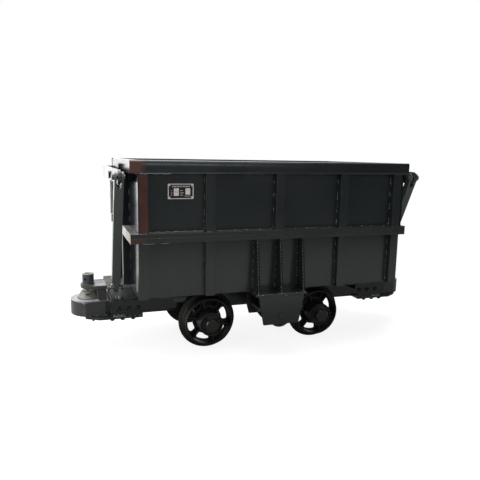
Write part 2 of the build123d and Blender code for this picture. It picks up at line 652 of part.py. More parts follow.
bracket = block(-BRACKET_HALF_TOP, BRACKET_HALF_TOP, BRACKET_FACE_Y - 2, BRACKET_BACK_Y + BRACKET_T,
                shelf_bottom, shelf_top)
bracket += prism_y([(-PLATE_HALF_TOP, shelf_bottom), (PLATE_HALF_TOP, shelf_bottom),
                    (PLATE_HALF_BOTTOM, BRACKET_BOTTOM), (-PLATE_HALF_BOTTOM, BRACKET_BOTTOM)],
                   BRACKET_FACE_Y, BRACKET_FACE_Y + BRACKET_T)
back_outline = [(BRACKET_HALF_TOP, shelf_bottom), (BRACKET_HALF_TOP, BACK_PLATE_SIDE_Z),
                (BACK_PLATE_HALF_LOW, BACK_PLATE_LOW_Z), (BACK_PLATE_STEP, BACK_PLATE_LOW_Z),
                (BACK_PLATE_HALF_TIP, BRACKET_BOTTOM)]
bracket += prism_y(back_outline + [(-x, z) for x, z in reversed(back_outline)],
                   BRACKET_BACK_Y, BRACKET_BACK_Y + BRACKET_T)
for x in (-STAY_X, STAY_X):
    bracket += rod_y(x, STAY_Z, STAY_R, BRACKET_FACE_Y + BRACKET_T / 2, BRACKET_BACK_Y + BRACKET_T / 2)
bracket -= rod_y(0, ROLLER_Z, ROLLER_PIN_R + PIN_GAP, BRACKET_FACE_Y - 5, BRACKET_BACK_Y + BRACKET_T + 5)
save("roller_bracket", bracket)
save("roller_pin", rod_y(0, ROLLER_Z, ROLLER_PIN_R, BRACKET_FACE_Y - 8, BRACKET_BACK_Y + BRACKET_T + 12))
roller_y0 = BRACKET_FACE_Y + BRACKET_T + SIDE_GAP
roller_y1 = BRACKET_BACK_Y - SIDE_GAP
roller = rod_y(0, ROLLER_Z, ROLLER_R, roller_y0, roller_y1)
roller = chamfer(roller.edges().filter_by(GeomType.CIRCLE), 4)
for y0, y1 in ((roller_y0, roller_y0 + ROLLER_END_W), (roller_y1 - ROLLER_END_W, roller_y1)):
    roller -= rod_y(0, ROLLER_Z, ROLLER_RING_R, y0, y1) - rod_y(0, ROLLER_Z, ROLLER_BOSS_R, y0, y1)
roller -= rod_y(0, ROLLER_Z, ROLLER_PIN_R + PIN_GAP, roller_y0, roller_y1)
save("roller", roller)

# Door: the whole +Y side, with its own ribs, belt and top band
door_post_x = DOOR_HALF_L - RIB_W / 2
save("door_panel", block(-DOOR_HALF_L, DOOR_HALF_L, wall_in, BOX_HALF_W, floor_top - 4, RIM_Z - 6))
door_ribs = []
for x in (-door_post_x, -RIB_X, 0, RIB_X, door_post_x):
    door_ribs.append(flip_y(channel_z(x, -BOX_HALF_W, RIB_D, BELT_TOP, BAND_BOTTOM)))
    door_ribs.append(flip_y(channel_z(x, -BOX_HALF_W, RIB_D, RIB_BOTTOM + 4, BELT_BOTTOM)))
save("door_ribs", *door_ribs)
save("door_belt", flip_y(band_along_x(-BOX_HALF_W, BELT_D, DOOR_BELT_HALF_L, BELT_BOTTOM, BELT_TOP, 0)))
save("door_band", flip_y(band_along_x(-BOX_HALF_W, BAND_D, DOOR_HALF_L, BAND_BOTTOM, RIM_Z, BAND_ROUND)))


# Door arms: a bar outside each end wall, from the link's eye past the pivot to a carrier on the door
def door_arm():
    x0 = ARM_X - ARM_T / 2
    x1 = ARM_X + ARM_T / 2
    half = ARM_H / 2
    far_y = BOX_HALF_W + RIB_D
    bar = block(x0, x1, EYE_Y, far_y, EYE_Z - half, EYE_Z + half)
    bar += rod_x(EYE_Y, EYE_Z, half, x0, x1)
    bar -= rod_x(EYE_Y, EYE_Z, LINK_PIN_R + EYE_GAP, x0, x1)
    bar -= rod_x(PIVOT_Y, PIVOT_Z, PIVOT_PIN_R + PIN_GAP, x0, x1)
    bar += block(DOOR_HALF_L, x0, BOX_HALF_W, far_y, EYE_Z - half, EYE_Z + half)
    bar += block(DOOR_HALF_L, DOOR_HALF_L + CARRIER_T, BOX_HALF_W, far_y, CARRIER_BOTTOM, EYE_Z - half)
    return bar


arm_right = door_arm()
save("door_arm_right", arm_right)
save("door_arm_left", flip_x(arm_right))


# Door pivots: a lug on each end of the box, a boss beside it and a headed pin through the arm
def door_pivot():
    lug_x0 = BOX_HALF_L + END_BAND_D
    lug_x1 = lug_x0 + PIVOT_LUG_T
    arm_x0 = ARM_X - ARM_T / 2
    arm_x1 = ARM_X + ARM_T / 2
    low = PIVOT_Z - PIVOT_LUG_BELOW
    lug = block(lug_x0, lug_x1, PIVOT_LUG_NEAR_Y, PIVOT_LUG_FAR_Y, low, PIVOT_LUG_TOP)
    lug += rod_x(PIVOT_Y, PIVOT_Z, PIVOT_BOSS_R, lug_x1, arm_x0 - PIVOT_SIDE_GAP)
    lug += rod_x(PIVOT_Y, PIVOT_Z, PIVOT_PIN_R, lug_x1, arm_x1 + PIVOT_SIDE_GAP)
    head_x0 = arm_x1 + PIVOT_SIDE_GAP
    lug += rod_x(PIVOT_Y, PIVOT_Z, PIVOT_HEAD_R, head_x0, head_x0 + PIVOT_HEAD_T)
    return lug


pivot_right = door_pivot()
save("door_pivots_right", pivot_right)
save("door_pivots_left", flip_x(pivot_right))


# Links: a forked bar from the frame lugs up to the arm's eye
def link_bar():
    run_y = EYE_Y - FOOT_Y
    run_z = EYE_Z - FOOT_Z
    length = math.hypot(run_y, run_z)
    lean = math.degrees(math.atan2(-run_y, run_z))
    half = LINK_W / 2
    foot_half = LINK_FOOT_W / 2
    fork_depth = ARM_H / 2 + LINK_SLOT_BELOW
    bar_outline = [(-foot_half, 0), (-foot_half, LINK_FOOT_NECK), (-half, LINK_SHOULDER), (-half, length),
                   (half, length), (half, LINK_SHOULDER), (foot_half, LINK_FOOT_NECK), (foot_half, 0)]
    face = make_face(Polyline(*[(x, -LINK_D / 2, z) for x, z in bar_outline], close=True))
    bar = extrude(face, amount=LINK_D, dir=(0, 1, 0))
    bar += rod_x(0, 0, LINK_FOOT_R, -foot_half, foot_half)
    bar += rod_x(0, length, LINK_HEAD_R, -half, half)
    slot_half = half - LINK_FORK_T
    bar -= block(-slot_half, slot_half, -ARM_H, ARM_H, length - fork_depth, length + ARM_H)
    bar -= rod_x(0, 0, FOOT_PIN_R + PIN_GAP, -foot_half, foot_half)
    bar += rod_x(0, length, LINK_PIN_R, -half, half)
    bar += rod_x(0, length, LINK_PIN_HEAD_R, half, half + LINK_PIN_HEAD_T)
    bar += rod_x(0, length, LINK_PIN_R, -half - LINK_PIN_HEAD_T / 2, -half)
    return Pos(ARM_X, FOOT_Y, FOOT_Z) * Rot(lean, 0, 0) * bar


link_right = link_bar()
save("link_right", link_right)
save("link_left", flip_x(link_right))


# Lugs on the deck for the link's foot, with their pin
def link_lugs():
    foot_half = LINK_FOOT_W / 2
    lugs = None
    for side in (-1, 1):
        near = ARM_X + side * (foot_half + LUG_SIDE_GAP)
        far = near + side * LUG_T
        low, high = min(near, far), max(near, far)
        lug = prism_x([(FOOT_Y - LUG_FOOT_HALF_W, deck_top), (FOOT_Y + LUG_FOOT_HALF_W, deck_top),
                       (FOOT_Y + LUG_R, FOOT_Z), (FOOT_Y - LUG_R, FOOT_Z)], low, high)
        lug += rod_x(FOOT_Y, FOOT_Z, LUG_R, low, high)
        lugs = lug if lugs is None else lugs + lug
    reach = foot_half + LUG_SIDE_GAP + LUG_T + LUG_T
    lugs += rod_x(FOOT_Y, FOOT_Z, FOOT_PIN_R, ARM_X - reach, ARM_X + reach)
    return lugs


lugs_right = link_lugs()
save("link_lugs_right", lugs_right)
save("link_lugs_left", flip_x(lugs_right))
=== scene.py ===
import math
import random

import bmesh
import bpy
from mathutils import Matrix, Vector


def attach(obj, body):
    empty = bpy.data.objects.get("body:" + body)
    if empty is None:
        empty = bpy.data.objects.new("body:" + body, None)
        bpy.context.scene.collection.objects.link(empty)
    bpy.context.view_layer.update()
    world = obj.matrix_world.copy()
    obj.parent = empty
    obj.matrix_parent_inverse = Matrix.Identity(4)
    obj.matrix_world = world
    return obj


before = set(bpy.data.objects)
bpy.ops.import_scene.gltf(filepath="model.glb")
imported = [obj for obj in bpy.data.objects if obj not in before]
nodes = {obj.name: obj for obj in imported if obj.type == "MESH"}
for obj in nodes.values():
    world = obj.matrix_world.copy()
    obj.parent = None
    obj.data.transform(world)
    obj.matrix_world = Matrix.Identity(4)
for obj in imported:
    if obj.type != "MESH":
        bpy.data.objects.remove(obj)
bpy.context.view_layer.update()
rng = random.Random(11)

# Sizes in metres, as in the part's source
BOX_X = 0.936
WALL_Y = 0.540
END_RIB_D = 0.048
RIB_HALF = 0.031
RIB_X = 0.478
RIB_D = 0.042
BELT = (0.820, 0.881)
BELT_D = 0.048
BAND_BOTTOM = 1.250
BAND_D = 0.054
FLOOR_Z = 0.460
DOOR_X = 0.986
SILL_Y = 0.250
SILL_TOP = 0.377
DECK_TOP = 0.385
FRAME_END = 1.080
COUPLER_X = 1.216
STRAP_UNDER = 0.236
WHEEL_X = 0.419
AXLE_Z = 0.206
GUSSET_XS = (-0.162, 0.0, 0.162)
GUSSET_HALF = 0.006
GUSSET_FOOT = 0.112
BRACKET_FACE = -0.6525
END_RIB_YS = (-0.505, -0.119, 0.119, 0.475)
HINGE_AT = (0.930, 0.400, 0.425)
LINK_FOOT = (-0.190, 0.455)
HUB_BOLT_R = 0.0562
HUB_FACE_Y = 0.408

# Camera, placed where the photograph was taken
CAMERA_AT = (-1.3525, -3.7099, 1.3643)
CAMERA_YAW = math.radians(18.92)
CAMERA_PITCH = math.radians(9.304)
CAMERA_ROLL = math.radians(0.985)
LENS_PX = 513.92
IMAGE_PX = 480


def make_camera():
    """A camera with its axes worked out from yaw, pitch and roll."""
    forward = Vector((math.sin(CAMERA_YAW) * math.cos(CAMERA_PITCH),
                      math.cos(CAMERA_YAW) * math.cos(CAMERA_PITCH), -math.sin(CAMERA_PITCH)))
    level = Vector((math.cos(CAMERA_YAW), -math.sin(CAMERA_YAW), 0))
    upright = level.cross(forward)
    right = math.cos(CAMERA_ROLL) * level + math.sin(CAMERA_ROLL) * upright
    up = math.cos(CAMERA_ROLL) * upright - math.sin(CAMERA_ROLL) * level
    data = bpy.data.cameras.new("camera")
    data.sensor_width = 36
    data.lens = data.sensor_width * LENS_PX / IMAGE_PX
    camera = bpy.data.objects.new("camera", data)
    bpy.context.scene.collection.objects.link(camera)
    turn = Matrix((right, up, -forward)).transposed().to_4x4()
    camera.matrix_world = Matrix.Translation(CAMERA_AT) @ turn
    bpy.context.scene.camera = camera


make_camera()
bpy.context.scene.view_settings.view_transform = "Standard"


# Light: soft from above, a tall bright wall behind on the left and dim fill in front
def area_light(name, at, target, size, power, colour=(1, 1, 1)):
    data = bpy.data.lights.new(name, "AREA")
    data.color = colour
    data.shape = "RECTANGLE"
    data.size, data.size_y = size
    data.energy = power
    light = bpy.data.objects.new(name, data)
    bpy.context.scene.collection.objects.link(light)
    light.location = at
    light.rotation_euler = (Vector(target) - Vector(at)).to_track_quat("-Z", "Y").to_euler()
    light.visible_camera = False


area_light("back_wall", (-2.8, 5.6, 2.4), (-0.6, 0, 0.8), (6.5, 4), 75)
area_light("left_wall", (-6.5, -1.5, 2.4), (0, 0, 0.8), (5, 3.5), 190, (1.0, 0.95, 0.87))
area_light("ceiling", (-0.5, 0.3, 5.0), (0, 0, 0.5), (6, 5), 350)
area_light("front_wall", (0.5, -7.0, 3.4), (0, 0, 0.6), (6, 3), 90)


def link_chain(tree, *pairs):
    for source, target in pairs:
        tree.links.new(source, target)


def math_node(tree, operation, first, second, clamp=False):
    node = tree.nodes.new("ShaderNodeMath")
    node.operation = operation
    node.use_clamp = clamp
    for slot, value in enumerate((first, second)):
        if isinstance(value, (int, float)):
            node.inputs[slot].default_value = value
        else:
            tree.links.new(value, node.inputs[slot])
    return node.outputs[0]


def range_node(tree, value, low, high, to_low=0.0, to_high=1.0, smooth=False):
    node = tree.nodes.new("ShaderNodeMapRange")
    node.interpolation_type = "SMOOTHSTEP" if smooth else "LINEAR"
    node.inputs["From Min"].default_value = low
    node.inputs["From Max"].default_value = high
    node.inputs["To Min"].default_value = to_low
    node.inputs["To Max"].default_value = to_high
    tree.links.new(value, node.inputs["Value"])
    return node.outputs[0]


def mix_colour(tree, factor, first, second):
    node = tree.nodes.new("ShaderNodeMix")
    node.data_type = "RGBA"
    for socket, value in ((node.inputs[0], factor), (node.inputs[6], first), (node.inputs[7], second)):
        if isinstance(value, tuple):
            socket.default_value = (*value, 1) if len(value) == 3 else value
        elif isinstance(value, (int, float)):
            socket.default_value = value
        else:
            tree.links.new(value, socket)
    return node.outputs[2]


def noise(tree, vector, scale, detail=3.0, rough=0.5):
    node = tree.nodes.new("ShaderNodeTexNoise")
    node.inputs["Scale"].default_value = scale
    node.inputs["Detail"].default_value = detail
    node.inputs["Roughness"].default_value = rough
    tree.links.new(vector, node.inputs["Vector"])
    return node.outputs["Fac"]


# World: white behind the object for camera rays, and for all others a hall that is dim in front
HALL_DIM = (0.048, 0.066, 0.072)
HALL_BRIGHT = (1.0, 1.0, 1.0)
HALL_FADE = (-0.35, 0.55)


def make_world():
    world = bpy.data.worlds.new("studio")
    bpy.context.scene.world = world
    world.use_nodes = True
    tree = world.node_tree
    tree.nodes.clear()
    out = tree.nodes.new("ShaderNodeOutputWorld")
    seen = tree.nodes.new("ShaderNodeBackground")
    seen.inputs["Color"].default_value = (1, 1, 1, 1)
    seen.inputs["Strength"].default_value = 1
    lit = tree.nodes.new("ShaderNodeBackground")
    place = tree.nodes.new("ShaderNodeTexCoord")
    split = tree.nodes.new("ShaderNodeSeparateXYZ")
    tree.links.new(place.outputs["Generated"], split.inputs[0])
    backward = math_node(tree, "MULTIPLY", split.outputs["Y"], 0.8)
    leftward = math_node(tree, "MULTIPLY", split.outputs["X"], -0.55)
    bright = range_node(tree, math_node(tree, "ADD", backward, leftward), *HALL_FADE, smooth=True)
    hall = mix_colour(tree, bright, HALL_DIM, HALL_BRIGHT)
    tree.links.new(hall, lit.inputs["Color"])
    lit.inputs["Strength"].default_value = 1
    path = tree.nodes.new("ShaderNodeLightPath")
    mix = tree.nodes.new("ShaderNodeMixShader")
    link_chain(tree, (path.outputs["Is Camera Ray"], mix.inputs["Fac"]), (lit.outputs[0], mix.inputs[1]),
               (seen.outputs[0], mix.inputs[2]), (mix.outputs[0], out.inputs["Surface"]))


make_world()


# Floor: pale and lit near the object, white where the camera sees far ground or a reflection looks back. For
# all other rays the ground's colour is painted light and shade
FLOOR_HALF = 30
# Painted light and shade on the ground: bright in a band in front, dim far off in front, darker near and
# behind the object
OPEN_GROUND = (0.56, 0.60, 0.57)
DIM_GROUND = (0.05, 0.055, 0.058)
CLOSE_GROUND = (0.19, 0.205, 0.19)
PALE_GROUND = (0.28, 0.28, 0.28, 1)
GROUND_GLOW = 0.86


def make_floor():
    mesh = bpy.data.meshes.new("floor")
    corners = [(x * FLOOR_HALF, y * FLOOR_HALF, 0) for x, y in ((-1, -1), (1, -1), (1, 1), (-1, 1))]
    mesh.from_pydata(corners, [], [(0, 1, 2, 3)])
    floor = bpy.data.objects.new("floor", mesh)
    bpy.context.scene.collection.objects.link(floor)
    material = bpy.data.materials.new("floor")
    material.use_nodes = True
    tree = material.node_tree
    tree.nodes.clear()
    out = tree.nodes.new("ShaderNodeOutputMaterial")
    place = tree.nodes.new("ShaderNodeTexCoord")
    split = tree.nodes.new("ShaderNodeSeparateXYZ")
    length = tree.nodes.new("ShaderNodeVectorMath")
    length.operation = "LENGTH"
    link_chain(tree, (place.outputs["Object"], length.inputs[0]), (place.outputs["Object"], split.inputs[0]))
    far = range_node(tree, length.outputs["Value"], 1.5, 3.2, smooth=True)
    dim = range_node(tree, split.outputs["Y"], -6.5, -3.0, 1.0, 0.0, smooth=True)
    close = range_node(tree, split.outputs["Y"], -2.4, -1.5, smooth=True)
    behind = range_node(tree, split.outputs["Y"], -0.1, 0.9, smooth=True)
    ground = tree.nodes.new("ShaderNodeBsdfDiffuse")
    open_ground = mix_colour(tree, dim, OPEN_GROUND, DIM_GROUND)
    tree.links.new(mix_colour(tree, close, open_ground, CLOSE_GROUND), ground.inputs["Color"])
    pale = tree.nodes.new("ShaderNodeBsdfDiffuse")
    pale.inputs["Color"].default_value = PALE_GROUND
    glow = tree.nodes.new("ShaderNodeEmission")
    glow.inputs["Strength"].default_value = GROUND_GLOW
    white = tree.nodes.new("ShaderNodeEmission")
    near = tree.nodes.new("ShaderNodeAddShader")
    seen = tree.nodes.new("ShaderNodeMixShader")
    path = tree.nodes.new("ShaderNodeLightPath")
    mirrored = math_node(tree, "ADD", path.outputs["Is Glossy Ray"], path.outputs["Is Transmission Ray"])
    looks_back = math_node(tree, "MULTIPLY", mirrored, behind)
    clear = math_node(tree, "ADD", path.outputs["Is Camera Ray"], looks_back, True)
    mix = tree.nodes.new("ShaderNodeMixShader")
    link_chain(tree, (pale.outputs[0], near.inputs[0]), (glow.outputs[0], near.inputs[1]),
               (far, seen.inputs["Fac"]), (near.outputs[0], seen.inputs[1]),
               (white.outputs[0], seen.inputs[2]),
               (clear, mix.inputs["Fac"]), (ground.outputs[0], mix.inputs[1]),
               (seen.outputs[0], mix.inputs[2]), (mix.outputs[0], out.inputs["Surface"]))
    mesh.materials.append(material)


make_floor()


# Paint: the scales of its noise, its rounded edges, and what shows on thin, dusty and worn places, with
# bright specks that are partly painted glints
WIDE_SCALE = 2.6
MID_SCALE = 14.0
FINE_SCALE = 85.0
SPECK_SCALE = 130.0
EDGE_ROUND = 0.0035
COAT_ROUGH = 0.08
LOAD_ROUGH = 0.62
THIN = (0.16, 0.16, 0.155)
DUST = (0.30, 0.29, 0.27)
SPECK = (0.62, 0.63, 0.64)
DARK_RUST = (0.055, 0.026, 0.014)
RUST = (0.17, 0.085, 0.045)
SCRAPED = (0.11, 0.108, 0.105)


def box_mask(tree, split, low, high, soft):
    """1 inside a box given in metres, fading outside it over the soft distance, one for all or one for
    each axis."""
    mask = None
    fades = soft if isinstance(soft, tuple) else (soft, soft, soft)
    for axis, a, b, fade in zip("XYZ", low, high, fades):
        up = range_node(tree, split.outputs[axis], a - fade, a)
        down = range_node(tree, split.outputs[axis], b, b + fade, 1.0, 0.0)
        both = math_node(tree, "MULTIPLY", up, down)
        mask = both if mask is None else math_node(tree, "MULTIPLY", mask, both)
    return mask


def enamel(name, colour, roughness, peel=0.12, specks=0.0, coat=0.35, tints=(), inward=None, wear=0.5,
           gloss=0.5):
    """Black enamel over steel, uneven in gloss, thin on its edges, with dust and bright specks that are
    partly painted glints. Each of the tints is a box and a colour painted in it, most of them painted
    highlights, reflections and shade, and inward is the way that the load side faces."""
    material = bpy.data.materials.new(name)
    material.use_nodes = True
    tree = material.node_tree
    shader = tree.nodes["Principled BSDF"]
    shader.inputs["Specular IOR Level"].default_value = gloss
    shader.inputs["Coat Weight"].default_value = coat
    shader.inputs["Coat Roughness"].default_value = COAT_ROUGH
    place = tree.nodes.new("ShaderNodeTexCoord").outputs["Object"]
    wide = noise(tree, place, WIDE_SCALE, 4)
    mid = noise(tree, place, MID_SCALE, 4)
    fine = noise(tree, place, FINE_SCALE, 3)
    paint = mix_colour(tree, wide, tuple(c * 0.72 for c in colour), tuple(c * 1.25 for c in colour))

    # Colours painted in boxes: reddish-brown and pale patches, and painted highlights, reflections and shade
    for low, high, shown, soft in tints:
        split = tree.nodes.new("ShaderNodeSeparateXYZ")
        tree.links.new(place, split.inputs[0])
        mask = box_mask(tree, split, low, high, soft)
        patchy = math_node(tree, "MULTIPLY", mask, range_node(tree, mid, 0.3, 0.55, 0.55, 1.0), True)
        paint = mix_colour(tree, patchy, paint, shown)

    # Edges: a rounded normal for the highlight, and paint worn thin where it turns
    rounded = tree.nodes.new("ShaderNodeBevel")
    rounded.samples = 4
    rounded.inputs["Radius"].default_value = EDGE_ROUND
    flat = tree.nodes.new("ShaderNodeNewGeometry")
    turn = tree.nodes.new("ShaderNodeVectorMath")
    turn.operation = "DOT_PRODUCT"
    link_chain(tree, (rounded.outputs[0], turn.inputs[0]), (flat.outputs["Normal"], turn.inputs[1]))
    edge = range_node(tree, turn.outputs["Value"], 0.985, 0.86)
    patch = range_node(tree, mid, 0.46, 0.62)
    thin = math_node(tree, "MULTIPLY", math_node(tree, "MULTIPLY", edge, patch), wear, True)
    paint = mix_colour(tree, thin, paint, THIN)

    # Dust in the hollows of the noise, and bright specks where asked, partly painted glints
    dust = math_node(tree, "MULTIPLY", range_node(tree, fine, 0.52, 0.78), 0.018 if peel else 0.006)
    paint = mix_colour(tree, dust, paint, DUST)
    if specks:
        cell = tree.nodes.new("ShaderNodeTexVoronoi")
        cell.inputs["Scale"].default_value = SPECK_SCALE
        tree.links.new(place, cell.inputs["Vector"])
        dot = range_node(tree, cell.outputs["Distance"], 0.24, 0.12)
        some = range_node(tree, noise(tree, place, 22.0, 2), 0.50, 0.60)
        spot = math_node(tree, "MULTIPLY", math_node(tree, "MULTIPLY", dot, some), specks, True)
        paint = mix_colour(tree, spot, paint, SPECK)

    rough = range_node(tree, wide, 0.25, 0.75, roughness - 0.06, roughness + 0.08)
    if inward is not None:
        # The load side: paint scraped to rusty steel, rougher, with scratches down the wall
        facing = tree.nodes.new("ShaderNodeVectorMath")
        facing.operation = "DOT_PRODUCT"
        facing.inputs[1].default_value = inward
        tree.links.new(flat.outputs["Normal"], facing.inputs[0])
        inside = range_node(tree, facing.outputs["Value"], 0.4, 0.6)
        stretch = tree.nodes.new("ShaderNodeMapping")
        stretch.inputs["Scale"].default_value = (9, 9, 1.1)
        tree.links.new(place, stretch.inputs["Vector"])
        scrape = range_node(tree, noise(tree, stretch.outputs[0], 9.0, 5, 0.65), 0.42, 0.60)
        rust = mix_colour(tree, mid, DARK_RUST, RUST)
        steel = mix_colour(tree, scrape, rust, SCRAPED)
        worn = math_node(tree, "MULTIPLY", inside, range_node(tree, wide, 0.30, 0.62, 0.45, 0.95))
        paint = mix_colour(tree, worn, paint, steel)
        grit = tree.nodes.new("ShaderNodeMix")
        link_chain(tree, (inside, grit.inputs[0]), (rough, grit.inputs[2]))
        grit.inputs[3].default_value = LOAD_ROUGH
        rough = grit.outputs[0]

    ripple = tree.nodes.new("ShaderNodeBump")
    ripple.inputs["Strength"].default_value = peel
    ripple.inputs["Distance"].default_value = 0.002
    height = math_node(tree, "ADD", fine, math_node(tree, "MULTIPLY", wide, 6.0))
    link_chain(tree, (paint, shader.inputs["Base Color"]), (rough, shader.inputs["Roughness"]),
               (height, ripple.inputs["Height"]), (rounded.outputs[0], ripple.inputs["Normal"]),
               (ripple.outputs[0], shader.inputs["Normal"]))
    return material


def both_ends(low, high, colour, soft):
    """The same tint at the right end and, turned over, at the left end."""
    turned_low = (-high[0], low[1], low[2])
    turned_high = (-low[0], high[1], high[2])
    return [(low, high, colour, soft), (turned_low, turned_high, colour, soft)]


BLACK = (0.0085, 0.0098, 0.0094)
# Navy: a painted reflection of the dark hall in front, used on the near side's upper part
NAVY_REFLECTION = (0.0078, 0.0108, 0.0120)
# Reddish-brown patches at the left corner of the box
RED_BROWN = (0.072, 0.017, 0.013)
BAND_RED_BROWN = (0.090, 0.034, 0.028)
BELT_RED_BROWN = (0.060, 0.019, 0.015)
PALE_SEAT = (0.27, 0.26, 0.235)
LIT_CREAM = (0.46, 0.42, 0.35)
GLINT = (0.62, 0.68, 0.78)

# Tints: the low and high corner of a box in metres, the colour that shows in it and its soft edge
# The near side's upper part painted navy, a painted reflection of the dark hall in front
UPPER_TINT = ((-1.1, -0.62, 0.93), (1.1, -0.5, 1.34), NAVY_REFLECTION, 0.05)
# The far part of each end deck painted light grey, a painted reflection of a bright background
DECK_TINTS = both_ends((0.88, 0.10, 0.37), (1.09, 0.50, 0.39), (0.12, 0.12, 0.115), 0.05)
# The coupling seats are painted pale
SEAT_TINTS = both_ends((1.135, -0.09, 0.3545), (1.30, 0.09, 0.4055), PALE_SEAT, 0.003)
# The heads' tops painted lighter, as painted light from above
HEAD_TOP_TINTS = both_ends((1.150, -0.13, 0.3505), (1.34, 0.13, 0.3540), (0.36, 0.37, 0.385), 0.002)
# Pale stripes on the jaws' tops: painted highlights
JAW_TINTS = [tint for y in (-0.082, -0.060, -0.036, -0.014, 0.022, 0.050)
             for tint in both_ends((1.100, y, 0.4505), (1.172, y + 0.007, 0.4540), GLINT, 0.002)]
# The sleeves painted bluer as a painted reflection, with a painted highlight round their tops
SLEEVE_TINTS = (both_ends((1.170, -0.046, 0.4540), (1.262, 0.046, 0.5200), (0.058, 0.066, 0.076), 0.002)
                + both_ends((1.150, -0.06, 0.5215), (1.280, 0.06, 0.5280), (0.34, 0.33, 0.31), 0.002))
# The door arms' far ends painted pale grey, as a painted highlight
ARM_TINTS = both_ends((0.975, 0.53, 0.86), (1.012, 0.60, 1.19), (0.42, 0.40, 0.36), 0.004)
# Left end wall by the near corner: a pale strip below the belt as a painted highlight, and above the belt a
# strip painted darker as painted shade
END_TINTS = (
    ((-0.94, -0.545, 0.50), (-0.9355, -0.47, 0.815), (0.26, 0.25, 0.23), (0.0005, 0.04, 0.01)),
    ((-0.94, -0.545, 0.885), (-0.9355, -0.49, 1.16), (0.012, 0.016, 0.021), (0.0005, 0.06, 0.06)),
)
# Near wall: upper panels painted navy, lower panels painted lighter and more so at the right, as painted
# reflections of a dark hall above and a pale floor in front
WALL_SOFT = (0.01, 0.001, 0.1)
WALL_TINTS = (
    ((-0.94, -0.545, 0.95), (0.94, -0.539, 1.26), NAVY_REFLECTION, WALL_SOFT),
    ((-0.94, -0.545, 0.45), (0.94, -0.539, 0.70), (0.0112, 0.0130, 0.0122), WALL_SOFT),
    ((0.60, -0.545, 0.45), (0.94, -0.539, 0.70), (0.0150, 0.0172, 0.0164), (0.3, 0.001, 0.1)),
)
# Posts: the upper part painted navy as a painted reflection, and a reddish-brown patch on the left corner
# post
POST_TINTS = (
    ((-1.0, -0.62, 0.93), (1.0, -0.5, 1.34), NAVY_REFLECTION, 0.05),
    ((-0.924, -0.60, 0.86), (-0.876, -0.50, 1.26), RED_BROWN, 0.004),
)
# Band: a broad and a narrow painted highlight along its top on the left, a painted reflection along its
# lower edge, and a reddish-brown patch at its left end
BAND_TINTS = (
    ((-0.90, -0.60, 1.298), (-0.35, -0.58, 1.312), (0.024, 0.030, 0.040), (0.7, 0.01, 0.008)),
    ((-0.92, -0.60, 1.305), (-0.55, -0.58, 1.308), (0.095, 0.115, 0.145), (0.6, 0.01, 0.005)),
    ((-0.88, -0.60, 1.249), (-0.45, -0.56, 1.254), (0.120, 0.140, 0.170), (0.5, 0.01, 0.003)),
    ((-1.0, -0.60, 1.2), (-0.928, -0.50, 1.34), BAND_RED_BROWN, (0.05, 0.01, 0.01)),
)
# The belt's left end face painted cream and its top there pale grey: painted light from the left and from
# above
BELT_END_TINTS = [
    ((-0.990, -0.60, 0.815), (-0.9838, 0.50, 0.885), LIT_CREAM, 0.0006),
    ((-0.9838, -0.586, 0.8804), (-0.936, 0.50, 0.885), (0.30, 0.295, 0.28), 0.0006),
]
# Reddish-brown on the belt by the left corner, and the belt's left end
BELT_TINTS = [((-0.983, -0.60, 0.80), (-0.892, -0.586, 0.846), BELT_RED_BROWN, 0.012)] + BELT_END_TINTS

paint = enamel("enamel", BLACK, 0.33, tints=[UPPER_TINT])
frame_paint = enamel("frame_enamel", (0.0085, 0.0100, 0.0094), 0.34, wear=0.7)
deck_paint = enamel("deck_enamel", (0.014, 0.016, 0.020), 0.66, specks=1.0, coat=0.02, wear=0.9, gloss=0.25,
                    tints=DECK_TINTS)
lug_paint = enamel("lug_enamel", (0.011, 0.012, 0.013), 0.20, specks=0.7, coat=1.0, wear=1.0)
head_paint = enamel("head_enamel", (0.050, 0.0525, 0.053), 0.52, peel=0.3, specks=0.3, coat=0.12, wear=0.9,
                    gloss=0.36, tints=SEAT_TINTS + HEAD_TOP_TINTS + JAW_TINTS + SLEEVE_TINTS)
link_paint = enamel("link_enamel", (0.074, 0.085, 0.0835), 0.30, wear=0.7)
arm_paint = enamel("arm_enamel", (0.014, 0.0165, 0.0155), 0.30, wear=0.7, tints=ARM_TINTS)
end_paint = enamel("end_enamel", (0.0150, 0.0190, 0.0250), 0.13, peel=0.0, coat=0.0, gloss=0.15,
                   inward=(1, 0, 0), tints=END_TINTS)
end_paint_right = enamel("end_enamel_right", (0.011, 0.0135, 0.0175), 0.26, peel=0.0, coat=0.5,
                         inward=(-1, 0, 0))
# The end ribs are painted darker than the end walls, as painted shade
end_rib_paint = enamel("end_rib_enamel", (0.0060, 0.0078, 0.0105), 0.30, peel=0.05, coat=0.05, gloss=0.25)
wall_paint = enamel("near_wall_enamel", BLACK, 0.33, inward=(0, 1, 0), tints=WALL_TINTS)
door_paint = enamel("door_enamel", BLACK, 0.33, inward=(0, -1, 0))
floor_paint = enamel("box_floor_enamel", BLACK, 0.36, inward=(0, 0, 1))
post_paint = enamel("post_enamel", BLACK, 0.33, tints=POST_TINTS)
